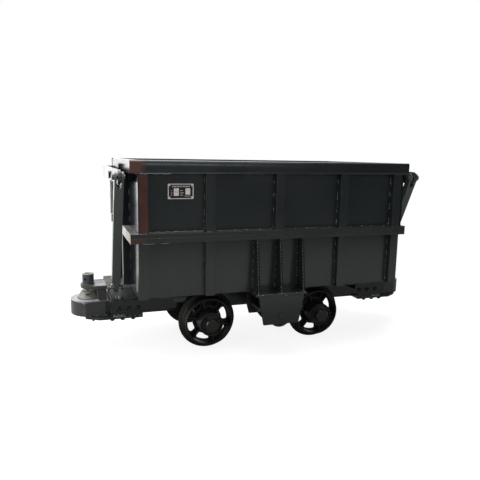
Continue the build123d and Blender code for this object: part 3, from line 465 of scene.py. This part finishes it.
# The band's colour is bluer than the black, a painted reflection of the dark hall in front
band_paint = enamel("band_enamel", (0.0066, 0.0094, 0.0108), 0.30, tints=BAND_TINTS)
belt_paint = enamel("belt_enamel", (0.0140, 0.0163, 0.0154), 0.32, tints=BELT_TINTS)
end_belt_paint = enamel("end_belt_enamel", BLACK, 0.30, tints=BELT_END_TINTS)
wheel_paint = enamel("wheel_enamel", (0.0130, 0.0135, 0.0125), 0.50, peel=0.2, coat=0.05, wear=0.3,
                     gloss=0.35)
cap_paint = enamel("cap_enamel", (0.011, 0.0085, 0.0072), 0.30, peel=0.35, coat=0.4, wear=0.3)
roller_paint = enamel("roller_enamel", (0.010, 0.011, 0.0105), 0.36, peel=0.3, wear=0.9)
weld_paint = enamel("weld_enamel", (0.018, 0.019, 0.020), 0.26, peel=0.5, specks=1.0, coat=0.7, wear=0.0)
gusset_paint = enamel("gusset_enamel", (0.0085, 0.0098, 0.0096), 0.30, coat=0.08, gloss=0.25)
# Pale weld colour, also used for painted highlights drawn as thin beads
pale_weld_and_glint = enamel("pale_weld_and_glint", (0.27, 0.28, 0.30), 0.34, peel=0.5, specks=1.0, coat=0.4, wear=0.0)
plain_weld = enamel("plain_weld", (0.010, 0.012, 0.0145), 0.34, peel=0.2, coat=0.3, wear=0.0)
bolt_paint = enamel("bolt_enamel", (0.0045, 0.005, 0.0055), 0.32, peel=0.1, coat=0.2, wear=0.2, gloss=0.3)
# The sill patch is painted lighter than the frame, as painted light
patch_paint = enamel("patch_enamel", (0.050, 0.054, 0.044), 0.36, wear=0.4)

CHOICES = (
    ("wheels", wheel_paint), ("hub_caps", cap_paint), ("axle", wheel_paint), ("head_l", head_paint),
    ("head_r", head_paint), ("head_straps", frame_paint), ("strap_packers", frame_paint),
    ("end_deck", deck_paint), ("link_lugs", lug_paint), ("link_", link_paint), ("door_arm", arm_paint),
    ("end_wall_left", end_paint), ("end_wall_right", end_paint_right), ("end_ribs", end_rib_paint),
    ("near_wall", wall_paint), ("door_panel", door_paint), ("floor_bearers", frame_paint),
    ("floor", floor_paint), ("corner_posts", post_paint), ("top_band_near", band_paint),
    ("belt_near", belt_paint), ("belt_left", end_belt_paint), ("roller_pin", paint),
    ("roller_bracket", paint), ("roller_gussets", gusset_paint), ("roller", roller_paint),
    ("door_pivots", bolt_paint),
    ("sills", frame_paint), ("girders", frame_paint), ("cross_beams", frame_paint),
    ("rest_beams", frame_paint), ("axle_boxes", frame_paint), ("hinge", frame_paint),
)


def paint_for(node_name):
    for start, material in CHOICES:
        if node_name.startswith(start):
            return material
    return paint


for name, node in nodes.items():
    node.data.materials.clear()
    node.data.materials.append(paint_for(name))


# Small forms, each built into a mesh of its own
SEAM_R = 0.0045
RING_STEP = 0.004


def piece(name, bm, material, body, smooth=False):
    bmesh.ops.recalc_face_normals(bm, faces=bm.faces)
    mesh = bpy.data.meshes.new(name)
    bm.to_mesh(mesh)
    bm.free()
    for face in mesh.polygons:
        face.use_smooth = smooth
    mesh.materials.append(material)
    made = bpy.data.objects.new(name, mesh)
    bpy.context.scene.collection.objects.link(made)
    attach(made, body)


def axes_of(axis):
    """Two directions square to the axis and to each other."""
    axis = Vector(axis).normalized()
    side = axis.cross(Vector((0, 0, 1)) if abs(axis.z) < 0.9 else Vector((1, 0, 0))).normalized()
    return axis, side, axis.cross(side)


def turned(bm, at, axis, profile, count=24, start=0.0):
    """A closed turned form: profile is a list of (radius, height along the axis)."""
    axis, side, up = axes_of(axis)
    rings = []
    for radius, height in profile:
        ring = []
        for k in range(count):
            angle = start + 2 * math.pi * k / count
            offset = side * math.cos(angle) * radius + up * math.sin(angle) * radius
            ring.append(bm.verts.new(Vector(at) + axis * height + offset))
        rings.append(ring)
    for low, high in zip(rings, rings[1:]):
        for k in range(count):
            bm.faces.new((low[k], low[(k + 1) % count], high[(k + 1) % count], high[k]))
    bm.faces.new(rings[0][::-1])
    bm.faces.new(rings[-1])


def bolt(bm, at, axis, across, height, washer, washer_t):
    """A hexagon head on a washer, turned at random."""
    base = Vector(at)
    way = Vector(axis).normalized()
    turned(bm, base - way * 0.001, axis, [(washer, 0), (washer, washer_t * 0.7), (washer * 0.94, washer_t)])
    radius = across / math.sqrt(3)
    twist = rng.uniform(0, math.pi / 3)
    head = base + way * (washer_t - 0.001)
    turned(bm, head, axis, [(radius * 0.97, 0), (radius, height * 0.12), (radius, height * 0.80),
                            (radius * 0.86, height)], 6, twist)


def round_bolt(bm, at, axis, radius=0.0155, stub=0.0):
    """A round head with a dished top on a thin washer, with a length of thread where stub is given."""
    base = Vector(at)
    way = Vector(axis).normalized()
    turned(bm, base - way * 0.001, axis, [(radius * 1.12, 0), (radius * 1.12, 0.0025),
                                          (radius * 1.06, 0.0035)])
    turned(bm, base + way * 0.002, axis, [(radius, 0), (radius, 0.0065), (radius * 0.84, 0.0090),
                                          (radius * 0.62, 0.0090), (radius * 0.50, 0.0072)])
    if stub:
        turned(bm, base + way * 0.008, axis, [(0.0075, 0), (0.0075, stub * 0.9), (0.006, stub)], 14)


def split_pin(bm, at, axis, across_dir, length):
    """The eye and the two bent legs of a split pin through the end of a pin."""
    way = Vector(across_dir).normalized()
    out = Vector(axis).normalized()
    half = length / 2
    tube(bm, [Vector(at) - way * (half + 0.006) + out * 0.004, Vector(at) - way * (half + 0.009),
              Vector(at) - way * (half + 0.004) - out * 0.003, Vector(at) - way * half,
              Vector(at) + way * half], 0.0022)
    tube(bm, [Vector(at) + way * half, Vector(at) + way * (half + 0.008) + out * 0.007], 0.0018)
    tube(bm, [Vector(at) + way * half, Vector(at) + way * (half + 0.008) - out * 0.007], 0.0018)


def tube(bm, path, radius, count=8, radii=None):
    """A round form that follows the path, closed at both ends."""
    rings = []
    for i, point in enumerate(path):
        ahead = path[min(i + 1, len(path) - 1)] - path[max(i - 1, 0)]
        _, side, up = axes_of(ahead)
        r = radius * (radii[i] if radii else 1.0)
        rings.append([bm.verts.new(point + side * math.cos(2 * math.pi * k / count) * r
                                   + up * math.sin(2 * math.pi * k / count) * r) for k in range(count)])
    for low, high in zip(rings, rings[1:]):
        for k in range(count):
            bm.faces.new((low[k], low[(k + 1) % count], high[(k + 1) % count], high[k]))
    bm.faces.new(rings[0][::-1])
    bm.faces.new(rings[-1])


def bead(bm, start, end, radius=0.004, step=0.0035):
    """A run of weld in a corner: ripples that swell and shrink along it."""
    start, end = Vector(start), Vector(end)
    count = max(4, int((end - start).length / step))
    path = []
    radii = []
    for i in range(count + 1):
        wander = Vector((rng.uniform(-1, 1), rng.uniform(-1, 1), rng.uniform(-1, 1))) * 0.0004
        path.append(start.lerp(end, i / count) + wander)
        ends = min(1.0, 0.45 + min(i, count - i) * 0.3)
        radii.append(ends * (1.0 if i % 2 else 0.78) * rng.uniform(0.88, 1.12))
    tube(bm, path, radius, 6, radii)


def stitches(bm, start, end, on, off, radius=0.004):
    """Short runs of weld with gaps between them."""
    start, end = Vector(start), Vector(end)
    total = (end - start).length
    way = (end - start) / total
    at = rng.uniform(0.0, off * 0.5)
    while at < total - 0.012:
        length = min(on * rng.uniform(0.7, 1.3), total - at)
        bead(bm, start + way * at, start + way * (at + length), radius)
        at += length + off * rng.uniform(0.7, 1.3)


def wavy_bead(bm, start, end, rise, wave, radius):
    """A run of weld that wanders up and down as it goes."""
    start, end = Vector(start), Vector(end)
    total = (end - start).length
    count = int(total / 0.004)
    path = []
    for i in range(count + 1):
        along = i / count
        swing = math.sin(2 * math.pi * along * total / wave + start.y * 9) + rng.uniform(-0.2, 0.2)
        path.append(start.lerp(end, along) + Vector((0, 0, rise * swing)))
    tube(bm, path, radius, 6)


def ring_bead(bm, at, axis, radius):
    """A run of weld right round a round foot."""
    axis, side, up = axes_of(axis)
    count = int(2 * math.pi * radius / RING_STEP) // 2 * 2
    rings = []
    for i in range(count):
        angle = 2 * math.pi * i / count
        out = side * math.cos(angle) + up * math.sin(angle)
        r = SEAM_R * (1.0 if i % 2 else 0.78) * rng.uniform(0.9, 1.1)
        ring = []
        for k in range(6):
            turn = 2 * math.pi * k / 6
            ring.append(bm.verts.new(Vector(at) + out * (radius + math.cos(turn) * r)
                                     + axis * math.sin(turn) * r))
        rings.append(ring)
    for i in range(count):
        low, high = rings[i], rings[(i + 1) % count]
        for k in range(6):
            bm.faces.new((low[k], low[(k + 1) % 6], high[(k + 1) % 6], high[k]))


def slab(bm, low, high, chamfer=0.001):
    """A plate with its edges broken."""
    x0, y0, z0 = low
    x1, y1, z1 = high
    corners = [bm.verts.new((x, y, z)) for x in (x0, x1) for y in (y0, y1) for z in (z0, z1)]
    faces = [(0, 1, 3, 2), (4, 6, 7, 5), (0, 4, 5, 1), (2, 3, 7, 6), (0, 2, 6, 4), (1, 5, 7, 3)]
    made = [bm.faces.new([corners[i] for i in face]) for face in faces]
    edges = list({edge for face in made for edge in face.edges})
    bmesh.ops.bevel(bm, geom=edges, offset=chamfer, segments=2, affect="EDGES")


# Welds on the box: the near side, the ends and the load side's outer corners
OFF = 0.001
UPPER = (BELT[1] + 0.003, BAND_BOTTOM - 0.003)
LOWER = (FLOOR_Z + 0.004, BELT[0] - 0.003)
GUSSET_RISE = (0.464, 0.816)
SHORTEST = 0.1


def up_run(bm, x, y, heights, on, off, radius=0.004):
    """Stitches straight up."""
    stitches(bm, (x, y, heights[0]), (x, y, heights[1]), on, off, radius)


def level_run(bm, xs, y, z, on, off, radius=0.004):
    """Stitches along the car."""
    stitches(bm, (xs[0], y, z), (xs[1], y, z), on, off, radius)


def cross_run(bm, x, ys, z, on, off, radius=0.004):
    """Stitches across the car."""
    stitches(bm, (x, ys[0], z), (x, ys[1], z), on, off, radius)


def level_bead(bm, xs, y, z, radius, step=0.0035):
    """A whole bead along the car."""
    bead(bm, (xs[0], y, z), (xs[1], y, z), radius, step)


def cross_bead(bm, x, ys, z, radius):
    """A whole bead across the car."""
    bead(bm, (x, ys[0], z), (x, ys[1], z), radius)


def weld_side(bm, y_wall, out, xs, half_l, lower_skip=()):
    """Stitches up the ribs of a side wall and runs along its band and belt."""
    y = y_wall + out * OFF
    for x in xs:
        for side in (-1, 1):
            if abs(x + side * RIB_HALF) > half_l - 0.004:
                continue
            corner = x + side * (RIB_HALF + OFF)
            up_run(bm, corner, y, UPPER, 0.04, 0.055)
            if x not in lower_skip:
                up_run(bm, corner, y, LOWER, 0.04, 0.055)
    edges = sorted([-half_l] + [x + s * RIB_HALF for x in xs for s in (-1, 1)] + [half_l])
    for span in zip(edges, edges[1:]):
        if span[1] - span[0] < SHORTEST:
            continue
        level_bead(bm, span, y, BAND_BOTTOM - OFF, SEAM_R)
        level_bead(bm, span, y, BELT[1] + OFF, SEAM_R)
        level_run(bm, span, y, BELT[0] - OFF, 0.06, 0.05, SEAM_R)
    front = y_wall + out * (RIB_D + OFF)
    for x in xs:
        rib = (x - RIB_HALF, x + RIB_HALF)
        level_bead(bm, rib, front, BELT[1], 0.0035)
        level_bead(bm, rib, front, BAND_BOTTOM, 0.0035)
        if x not in lower_skip:
            level_bead(bm, rib, front, BELT[0], 0.0035)


post_x = BOX_X - RIB_HALF
gusset_foot_y = -WALL_Y - GUSSET_FOOT
bm = bmesh.new()
weld_side(bm, -WALL_Y, -1, (-post_x, -RIB_X, 0.0, RIB_X, post_x), BOX_X, (0.0,))
for x in GUSSET_XS:
    for side in (-1, 1):
        corner = x + side * (GUSSET_HALF + OFF)
        up_run(bm, corner, -WALL_Y - OFF, GUSSET_RISE, 0.05, 0.03, SEAM_R)
        cross_bead(bm, corner, (-WALL_Y - 0.002, gusset_foot_y), 0.461, 0.004)
level_bead(bm, (-0.184, 0.184), BRACKET_FACE - 0.002, 0.4595, SEAM_R)
level_bead(bm, (-0.160, 0.160), BRACKET_FACE, 0.4455, 0.004)
belt_end = BOX_X + 0.046
level_bead(bm, (-belt_end, belt_end), -WALL_Y - BELT_D - 0.0003, 0.852, 0.0014, 0.006)
piece("welds_near_side", bm, weld_paint, "box", True)

# Pale weld, left bare: spatter and short runs along the belt, the ribs and the bracket, and under the band a
# wavy bead as a painted highlight
bm = bmesh.new()
wall_face = -WALL_Y - 0.003
for x in (0.0, RIB_X, post_x):
    up_run(bm, x - RIB_HALF - 0.003, wall_face, UPPER, 0.020, 0.085, 0.0021)
up_run(bm, -RIB_X - RIB_HALF - 0.003, wall_face, (UPPER[0], 1.06), 0.008, 0.03, 0.0024)
for x in (RIB_X, post_x):
    up_run(bm, x - RIB_HALF - 0.003, wall_face, LOWER, 0.012, 0.06, 0.0020)
for x in GUSSET_XS:
    up_run(bm, x - 0.009, wall_face, (0.47, 0.81), 0.008, 0.05, 0.0026)
    edge = x - 0.0062
    stitches(bm, (edge, gusset_foot_y, 0.468), (edge, -WALL_Y - 0.0706, 0.812), 0.010, 0.012, 0.0019)
belt_top = BELT[1] + 0.0035
wavy_bead(bm, (-0.872, wall_face, belt_top), (-0.512, wall_face, belt_top), 0.0020, 0.06, 0.0019)
level_run(bm, (-0.440, 0.90), wall_face, BELT[1] + 0.003, 0.012, 0.075, 0.003)
for span in ((-0.911, -0.836), (-0.795, -0.746)):
    level_bead(bm, span, 0.004 - WALL_Y - BELT_D, BELT[0] - OFF, 0.0034)
level_run(bm, (-0.66, -0.30), -WALL_Y - 0.004, BELT[0] - 0.004, 0.020, 0.08, 0.0028)
level_run(bm, (-0.180, 0.180), BRACKET_FACE - 0.001, 0.4615, 0.014, 0.03, 0.003)
for x in GUSSET_XS:
    level_bead(bm, (x - 0.008, x + 0.008), gusset_foot_y, 0.4635, 0.003)
band_edge = 0.0015 - WALL_Y - BAND_D
band_under = BAND_BOTTOM - OFF
# Under the band's front edge: a pale wavy bead as a painted highlight
wavy_bead(bm, (-0.925, band_edge, band_under), (-0.735, band_edge, band_under), 0.0013, 0.06, 0.0017)
piece("pale_welds_and_glints_box", bm, pale_weld_and_glint, "box", True)

bm = bmesh.new()
door_post_x = DOOR_X - RIB_HALF
weld_side(bm, WALL_Y, 1, (-door_post_x, -RIB_X, 0.0, RIB_X, door_post_x), DOOR_X)
piece("welds_door", bm, weld_paint, "door", True)

bm = bmesh.new()
for sign in (-1, 1):
    x = sign * (BOX_X + OFF)
    for y in END_RIB_YS:
        for side in (-1, 1):
            near = y == END_RIB_YS[0]
            if near and (sign < 0 or side < 0):
                continue
            corner = y + side * (RIB_HALF + OFF)
            up_run(bm, x, corner, UPPER, 0.04, 0.045)
            if not near:
                up_run(bm, x, corner, LOWER, 0.04, 0.045)
    for ys in ((-0.538, -0.151), (-0.087, 0.087), (0.151, 0.443)):
        cross_bead(bm, x, ys, BAND_BOTTOM - OFF, SEAM_R)
        cross_run(bm, x, ys, BELT[1] + OFF, 0.06, 0.03, SEAM_R)
        cross_run(bm, x, ys, BELT[0] - OFF, 0.06, 0.04, SEAM_R)
    if sign > 0:
        up_run(bm, x, OFF - WALL_Y, LOWER, 0.03, 0.025, SEAM_R)
        up_run(bm, x, OFF - WALL_Y, UPPER, 0.03, 0.03, SEAM_R)
    lug_x = sign * (BOX_X + END_RIB_D + OFF)
    for y in (-0.176, 0.011):
        bead(bm, (lug_x, y, 1.252), (lug_x, y, 1.297), SEAM_R)
    cross_bead(bm, lug_x, (-0.174, 0.009), 1.299, SEAM_R)
piece("welds_ends", bm, plain_weld, "box", True)

# Welds on the frame: decks, lug feet, heads and straps
bm = bmesh.new()
for sx in (-1, 1):
    deck_end = sx * (FRAME_END + OFF)
    for sy in (-1, 1):
        level_run(bm, (sx * 0.702, sx * FRAME_END), sy * (SILL_Y + OFF), SILL_TOP, 0.05, 0.03)
        bead(bm, (deck_end, sy * 0.137, 0.254), (deck_end, sy * 0.137, 0.350), 0.005)
    cross_bead(bm, deck_end, (-SILL_Y, SILL_Y), DECK_TOP - 0.008, 0.004)
    for x in (1.024, 1.043, 1.060):
        cross_bead(bm, sx * x, (-0.235, -0.145), DECK_TOP, SEAM_R)
    for y in (-0.098, 0.098):
        for z, radius in ((0.353, SEAM_R), (0.4275, 0.0035)):
            level_bead(bm, (sx * 1.102, sx * 1.157), y, z, radius)
    for z, radius in ((0.4525, 0.0400), (0.3525, 0.0745)):
        ring_bead(bm, (sx * COUPLER_X, 0, z), (0, 0, 1), radius)
    for sy in (-1, 1):
        level_run(bm, (sx * 1.082, sx * 1.240), sy * 0.1505, 0.2520, 0.03, 0.02)
piece("welds_frame", bm, weld_paint, "frame", True)

# Pale marks on the heads, painted highlights over a worn front corner and beside the seat, and pale beads
# along the straps' edges, where the packers stand on them
# A bright streak over the front corner of each head: a painted highlight on a worn edge
GLINT_ON_WORN_EDGE = ((1.280, -0.058, 0.3522), (1.272, -0.090, 0.3524), (1.262, -0.128, 0.3516),
         (1.256, -0.1475, 0.3460), (1.247, -0.1502, 0.3370))
STRAP_EDGE = 0.2078
bm = bmesh.new()
for sx in (-1, 1):
    tube(bm, [Vector((sx * x, y, z)) for x, y, z in GLINT_ON_WORN_EDGE], 0.0026, 6)
    # A short pale bead beside the seat: a painted highlight
    bead(bm, (sx * 1.210, -0.079, 0.3525), (sx * 1.176, -0.091, 0.3525), 0.0036)
    for sy in (-1, 1):
        edge_y = sy * STRAP_EDGE
        wavy_bead(bm, (sx * 0.978, edge_y, 0.2525), (sx * 1.066, edge_y, 0.2525), 0.003, 0.05, 0.0034)
        level_run(bm, (sx * 0.870, sx * 0.970), edge_y, 0.2515, 0.012, 0.022, 0.0034)
        wavy_bead(bm, (sx * 0.985, edge_y, 0.262), (sx * 1.062, edge_y, 0.262), 0.006, 0.03, 0.0028)
piece("pale_welds_and_glints_frame", bm, pale_weld_and_glint, "frame", True)

# Bolts on the sills and under the straps
SILL_BOLTS = ((-1, (0.902, 0.968, 1.032), 0.319), (1, (0.849, 0.920, 0.994), 0.325))
bm = bmesh.new()
for sx, xs, z in SILL_BOLTS:
    for x in xs:
        for sy in (-1, 1):
            round_bolt(bm, (sx * x, sy * SILL_Y, z), (0, sy, 0))
for sx in (-1, 1):
    for sy in (-1, 1):
        for x in (0.928, 1.000, 1.070):
            round_bolt(bm, (sx * x, sy * 0.192, STRAP_UNDER), (0, 0, -1), 0.0145, 0.006)
        round_bolt(bm, (sx * 1.194, sy * 0.135, STRAP_UNDER), (0, 0, -1), 0.0125, 0.014)
piece("frame_bolts", bm, bolt_paint, "frame", True)

# Ends of the hinge and link pins
bm = bmesh.new()
hinge_x, hinge_y, hinge_z = HINGE_AT
for sx in (-1, 1):
    for sy in (-1, 1):
        split_pin(bm, (sx * (hinge_x + sy * 0.0385), hinge_y, hinge_z), (1, 0, 0), (0, 0, 1), 0.040)
    for x, lean in ((1.085, 0.3), (0.999, -0.3)):
        split_pin(bm, (sx * x, *LINK_FOOT), (1, 0, 0), (0, lean, 1), 0.030)
piece("split_pins_frame", bm, bolt_paint, "frame", True)

# Patch plate on the near sill by the left wheel, painted lighter than the sill as painted light
bm = bmesh.new()
slab(bm, (-0.653, -0.2535, 0.3370), (-0.558, -0.2495, 0.3735))
piece("sill_patch", bm, patch_paint, "frame")

# Bolts round each hub cap
for side_name, x in (("left", -WHEEL_X), ("right", WHEEL_X)):
    bm = bmesh.new()
    for sy in (-1, 1):
        for k in range(4):
            angle = math.radians(45 + 90 * k + (8 if side_name == "left" else 20))
            at = (x + math.sin(angle) * HUB_BOLT_R, sy * HUB_FACE_Y,
                  AXLE_Z + math.cos(angle) * HUB_BOLT_R)
            bolt(bm, at, (0, sy, 0), 0.010, 0.006, 0.0062, 0.001)
    piece(f"hub_bolts_{side_name}", bm, bolt_paint, f"wheelset_{side_name}")


# Rating plate: a bright rim and four rivets round a black field with blank spaces and plain marks
def metal(name, colour, roughness, grain):
    material = bpy.data.materials.new(name)
    material.use_nodes = True
    tree = material.node_tree
    shader = tree.nodes["Principled BSDF"]
    shader.inputs["Metallic"].default_value = 0.1
    place = tree.nodes.new("ShaderNodeTexCoord").outputs["Object"]
    blotch = noise(tree, place, grain, 4)
    bright = tuple(min(1, c * 1.15) for c in colour)
    shade = mix_colour(tree, blotch, tuple(c * 0.7 for c in colour), bright)
    dirt = range_node(tree, noise(tree, place, grain * 0.3, 5), 0.55, 0.75, 0.0, 0.7)
    shade = mix_colour(tree, dirt, shade, tuple(c * 0.35 for c in colour))
    rough = range_node(tree, blotch, 0.2, 0.8, roughness - 0.08, roughness + 0.12)
    link_chain(tree, (shade, shader.inputs["Base Color"]), (rough, shader.inputs["Roughness"]))
    return material


plate_metal = metal("plate_metal", (0.97, 0.80, 0.81), 0.34, 160.0)
field_black = enamel("plate_field", (0.012, 0.012, 0.013), 0.3, peel=0.1, wear=0.0)

PLATE = (-0.745, -0.582, 1.091, 1.186)
PLATE_Y = -WALL_Y
RIM = 0.0048
RIVET_IN = 0.010


def plate_bar(bm, x0, x1, z0, z1, depth):
    slab(bm, (x0, PLATE_Y - depth, z0), (x1, PLATE_Y - 0.0005, z1), 0.0005)


bm = bmesh.new()
plate_bar(bm, PLATE[0] + 0.002, PLATE[1] - 0.002, PLATE[2] + 0.002, PLATE[3] - 0.002, 0.0022)
piece("rating_plate_field", bm, field_black, "box")
bm = bmesh.new()
x0, x1, z0, z1 = PLATE
plate_bar(bm, x0, x1, z1 - RIM, z1, 0.0036)
plate_bar(bm, x0, x1, z0, z0 + RIM, 0.0036)
plate_bar(bm, x0, x0 + RIM, z0 + RIM, z1 - RIM, 0.0036)
plate_bar(bm, x1 - RIM, x1, z0 + RIM, z1 - RIM, 0.0036)
plate_bar(bm, x0 + 0.037, x0 + 0.069, z0 + 0.020, z0 + 0.067, 0.0030)
plate_bar(bm, x0 + 0.111, x0 + 0.141, z0 + 0.027, z0 + 0.067, 0.0030)
for k in range(12):
    mark = x0 + 0.027 + 0.0097 * k
    plate_bar(bm, mark, mark + 0.0055, z0 + 0.074, z0 + 0.083, 0.0026)
for k, mark in enumerate((0.022, 0.036, 0.050)):
    plate_bar(bm, x0 + 0.018, x0 + 0.026 + 0.003 * (k % 2), z0 + mark, z0 + mark + 0.004, 0.0026)
    plate_bar(bm, x0 + 0.078, x0 + 0.094 + 0.005 * (k % 2), z0 + mark, z0 + mark + 0.004, 0.0026)
plate_bar(bm, x0 + 0.106, x0 + 0.145, z0 + 0.016, z0 + 0.0195, 0.0026)
for dx in (RIVET_IN, x1 - x0 - RIVET_IN):
    for dz in (RIVET_IN, z1 - z0 - RIVET_IN):
        turned(bm, (x0 + dx, PLATE_Y - 0.002, z0 + dz), (0, -1, 0),
               [(0.0055, 0), (0.0052, 0.0014), (0.0038, 0.0026), (0.0016, 0.0031)], 16)
piece("rating_plate_rim", bm, plate_metal, "box")
